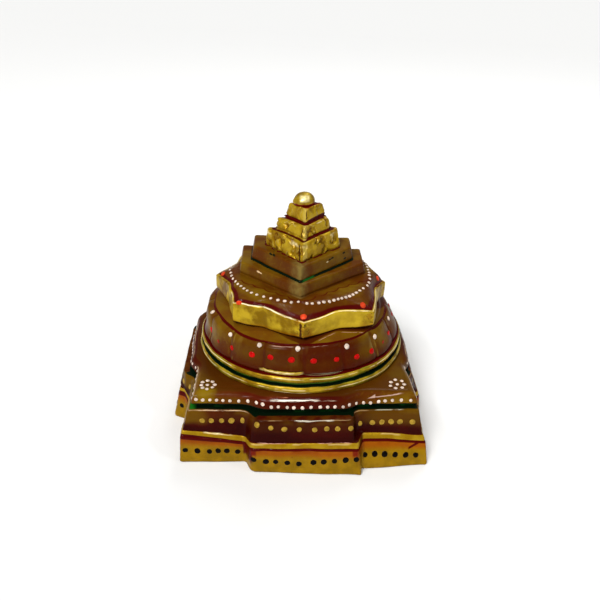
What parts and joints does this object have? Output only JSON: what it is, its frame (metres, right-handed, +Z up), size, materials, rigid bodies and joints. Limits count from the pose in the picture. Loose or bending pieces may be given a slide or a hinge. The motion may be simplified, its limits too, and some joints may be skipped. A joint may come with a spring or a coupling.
{
  "type": "shri yantra",
  "caption": "Stepped meru shri yantra of carved stone: gated square base, round rings, two lotus tiers and star-shaped tiers rising to a bead.",
  "frame": {"origin": "middle of the flat underside", "axes": "+Z up through the peak; the front, where the star tiers' long apexes point, faces -Y; +X to the right seen from the front"},
  "size_m": [0.0772, 0.079, 0.068],
  "materials": {
    "gilt_stone": "gold leaf and gold paint over carved stone, glossy lacquer, worn into brown in the cuts",
    "brown_stone": "polished translucent brown stone, glossy lacquer",
    "maroon_lacquered_stone": "dark maroon lacquer over brown stone, glossy",
    "green_enamelled_stone": "dark green enamel in a cut groove, glossy"
  },
  "bodies": {
    "root": {"plinth_band": "gilt_stone", "plinth_fillet": "gilt_stone", "middle_course": "maroon_lacquered_stone", "green_course": "green_enamelled_stone", "upper_course": "brown_stone", "lower_ring": "gilt_stone", "green_ring": "green_enamelled_stone", "upper_ring": "gilt_stone", "sixteen_petal_lotus": "brown_stone", "lotus_shoulder": "brown_stone", "eight_petal_lotus": "gilt_stone", "fourteen_corner_tier": "brown_stone", "outer_ten_corner_tier": "brown_stone", "inner_ten_corner_tier": "gilt_stone", "eight_corner_tier": "gilt_stone", "triangle_tier": "gilt_stone", "bindu": "gilt_stone"}
  },
  "joints": []
}
